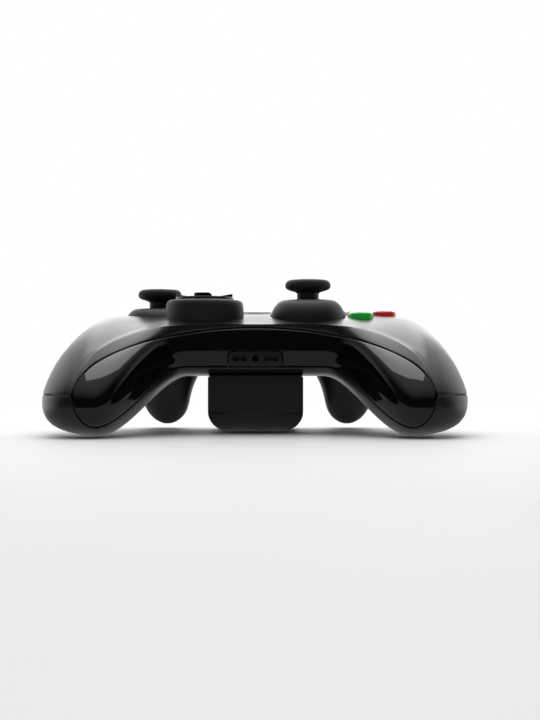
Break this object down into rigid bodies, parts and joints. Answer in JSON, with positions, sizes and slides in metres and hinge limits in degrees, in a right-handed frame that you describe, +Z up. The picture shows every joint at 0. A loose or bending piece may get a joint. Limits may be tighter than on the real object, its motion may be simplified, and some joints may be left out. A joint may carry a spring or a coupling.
{
  "type": "gamepad controller",
  "caption": "Wireless two-grip gamepad with tilting thumb sticks, direction pad, dome buttons, bumpers, triggers, rumble motors and a removable battery case under the middle.",
  "frame": {"origin": "on the floor, on the flat underside of the battery case, in the middle of the width", "axes": "+X to the player's right, +Y away from the player, +Z up"},
  "size_m": [0.1538, 0.1039, 0.0585],
  "materials": {
    "case_plastic": "satin moulded",
    "gloss_black": "polished",
    "collar_plastic": "fine grain",
    "cap_rubber": "matt",
    "green_clear": "translucent",
    "red_clear": "translucent",
    "blue_clear": "translucent",
    "yellow_clear": "translucent",
    "home_plastic": "satin silver paint",
    "ring_clear": "frosted",
    "rubber_sheet": "matt",
    "white_plastic": "moulded",
    "steel": "plain",
    "board": "solder mask",
    "tin": "tinned",
    "cell": "printed sleeve",
    "gold": "plated"
  },
  "bodies": {
    "case": {"top_shell": "case_plastic", "bottom_shell": "case_plastic", "front_panel": "gloss_black", "port_block": "case_plastic", "left_stick_collar": "collar_plastic", "right_stick_collar": "collar_plastic", "dpad_housing": "collar_plastic", "dpad_pad": "rubber_sheet", "face_button_pad": "rubber_sheet", "light_ring": "ring_clear", "menu_pad": "rubber_sheet", "bumper_bridge": "gloss_black", "bumper_pins": "steel", "trigger_pins": "steel", "left_trigger_spring": "steel", "right_trigger_spring": "steel", "left_trigger_bracket": "collar_plastic", "right_trigger_bracket": "collar_plastic", "main_board": "board", "shield_can": "tin", "left_stick_base": "collar_plastic", "right_stick_base": "collar_plastic", "bumper_switches": "collar_plastic", "left_motor": "steel", "right_motor": "steel", "battery_contacts": "gold", "shell_screws": "steel"},
    "left_stick_slider": {"left_stick_carrier": "white_plastic"},
    "left_stick_gimbal": {"left_stick_yoke": "collar_plastic"},
    "left_stick": {"left_stick_shaft": "case_plastic", "left_stick_cap": "cap_rubber"},
    "right_stick_slider": {"right_stick_carrier": "white_plastic"},
    "right_stick_gimbal": {"right_stick_yoke": "collar_plastic"},
    "right_stick": {"right_stick_shaft": "case_plastic", "right_stick_cap": "cap_rubber"},
    "dpad_gimbal": {"dpad_carrier": "white_plastic"},
    "dpad": {"dpad": "gloss_black"},
    "green_button": {"green_button": "green_clear"},
    "red_button": {"red_button": "red_clear"},
    "blue_button": {"blue_button": "blue_clear"},
    "yellow_button": {"yellow_button": "yellow_clear"},
    "home_button": {"home_button": "home_plastic"},
    "back_button": {"back_button": "case_plastic"},
    "start_button": {"start_button": "case_plastic"},
    "pairing_button": {"pairing_button": "case_plastic"},
    "left_bumper": {"left_bumper": "gloss_black"},
    "left_trigger": {"left_trigger": "case_plastic"},
    "left_motor_weight": {"left_motor_weight": "steel"},
    "right_bumper": {"right_bumper": "gloss_black"},
    "right_trigger": {"right_trigger": "case_plastic"},
    "right_motor_weight": {"right_motor_weight": "steel"},
    "battery_pack": {"battery_pack": "case_plastic", "battery_cells": "cell", "latch_spring": "steel"},
    "battery_latch": {"battery_latch": "case_plastic"}
  },
  "joints": [
    {"name": "left_stick_press", "type": "slide", "parent": "case", "child": "left_stick_slider", "axis": [0, 0, -1], "range_m": [0, 0.0006], "stiffness_N_per_m": 1500, "springref_m": -0.001},
    {"name": "left_stick_pitch", "type": "hinge", "parent": "left_stick_slider", "child": "left_stick_gimbal", "pos_m": [-0.03919, 0.0247, 0.0365], "axis": [1, 0, 0], "range_deg": [-14, 14], "stiffness_Nm_per_rad": 0.05},
    {"name": "left_stick_roll", "type": "hinge", "parent": "left_stick_gimbal", "child": "left_stick", "pos_m": [-0.03919, 0.0247, 0.0365], "axis": [0, 1, 0], "range_deg": [-14, 14], "stiffness_Nm_per_rad": 0.05},
    {"name": "right_stick_press", "type": "slide", "parent": "case", "child": "right_stick_slider", "axis": [0, 0, -1], "range_m": [0, 0.0006], "stiffness_N_per_m": 1500, "springref_m": -0.001},
    {"name": "right_stick_pitch", "type": "hinge", "parent": "right_stick_slider", "child": "right_stick_gimbal", "pos_m": [0.02002, 0.0015, 0.0385], "axis": [1, 0, 0], "range_deg": [-14, 14], "stiffness_Nm_per_rad": 0.05},
    {"name": "right_stick_roll", "type": "hinge", "parent": "right_stick_gimbal", "child": "right_stick", "pos_m": [0.02002, 0.0015, 0.0385], "axis": [0, 1, 0], "range_deg": [-14, 14], "stiffness_Nm_per_rad": 0.05},
    {"name": "dpad_pitch", "type": "hinge", "parent": "case", "child": "dpad_gimbal", "pos_m": [-0.01971, 0.0005, 0.04572], "axis": [1, 0, 0], "range_deg": [-4, 4], "stiffness_Nm_per_rad": 0.08},
    {"name": "dpad_roll", "type": "hinge", "parent": "dpad_gimbal", "child": "dpad", "pos_m": [-0.01971, 0.0005, 0.04572], "axis": [0, 1, 0], "range_deg": [-4, 4], "stiffness_Nm_per_rad": 0.08},
    {"name": "green_press", "type": "slide", "parent": "case", "child": "green_button", "axis": [0, 0, -1], "range_m": [0, 0.0015], "stiffness_N_per_m": 350, "springref_m": -0.002},
    {"name": "red_press", "type": "slide", "parent": "case", "child": "red_button", "axis": [0, 0, -1], "range_m": [0, 0.0015], "stiffness_N_per_m": 350, "springref_m": -0.002},
    {"name": "blue_press", "type": "slide", "parent": "case", "child": "blue_button", "axis": [0, 0, -1], "range_m": [0, 0.0015], "stiffness_N_per_m": 350, "springref_m": -0.002},
    {"name": "yellow_press", "type": "slide", "parent": "case", "child": "yellow_button", "axis": [0, 0, -1], "range_m": [0, 0.0015], "stiffness_N_per_m": 350, "springref_m": -0.002},
    {"name": "home_press", "type": "slide", "parent": "case", "child": "home_button", "axis": [0, 0, -1], "range_m": [0, 0.0008], "stiffness_N_per_m": 500, "springref_m": -0.0015},
    {"name": "back_press", "type": "slide", "parent": "case", "child": "back_button", "axis": [0, 0, -1], "range_m": [0, 0.0008], "stiffness_N_per_m": 500, "springref_m": -0.0015},
    {"name": "start_press", "type": "slide", "parent": "case", "child": "start_button", "axis": [0, 0, -1], "range_m": [0, 0.0008], "stiffness_N_per_m": 500, "springref_m": -0.0015},
    {"name": "pairing_press", "type": "slide", "parent": "case", "child": "pairing_button", "axis": [0, -1, 0], "range_m": [0, 0.0008], "stiffness_N_per_m": 500, "springref_m": -0.0015},
    {"name": "left_bumper_turn", "type": "hinge", "parent": "case", "child": "left_bumper", "pos_m": [-0.0162, 0.04, 0.036], "axis": [0, 0, 1], "range_deg": [0, 1.5], "stiffness_Nm_per_rad": 1.5, "springref_deg": -1.15},
    {"name": "left_trigger_pull", "type": "hinge", "parent": "case", "child": "left_trigger", "pos_m": [-0.0375, 0.0355, 0.0255], "axis": [-1, 0, 0], "range_deg": [0, 16], "stiffness_Nm_per_rad": 0.12, "springref_deg": -20.05},
    {"name": "left_motor_spin", "type": "hinge", "parent": "case", "child": "left_motor_weight", "pos_m": [-0.05598, -0.018, 0.0175], "axis": [1, 0, 0], "continuous": true},
    {"name": "right_bumper_turn", "type": "hinge", "parent": "case", "child": "right_bumper", "pos_m": [0.0162, 0.04, 0.036], "axis": [0, 0, -1], "range_deg": [0, 1.5], "stiffness_Nm_per_rad": 1.5, "springref_deg": -1.15},
    {"name": "right_trigger_pull", "type": "hinge", "parent": "case", "child": "right_trigger", "pos_m": [0.0375, 0.0355, 0.0255], "axis": [-1, 0, 0], "range_deg": [0, 16], "stiffness_Nm_per_rad": 0.12, "springref_deg": -20.05},
    {"name": "right_motor_spin", "type": "hinge", "parent": "case", "child": "right_motor_weight", "pos_m": [0.05598, -0.018, 0.0175], "axis": [1, 0, 0], "continuous": true},
    {"name": "battery_release", "type": "slide", "parent": "case", "child": "battery_pack", "axis": [0, 0, -1], "range_m": [0, 0.03]},
    {"name": "latch_press", "type": "slide", "parent": "battery_pack", "child": "battery_latch", "axis": [0, -1, 0], "range_m": [0, 0.0015], "stiffness_N_per_m": 400, "springref_m": -0.002}
  ]
}
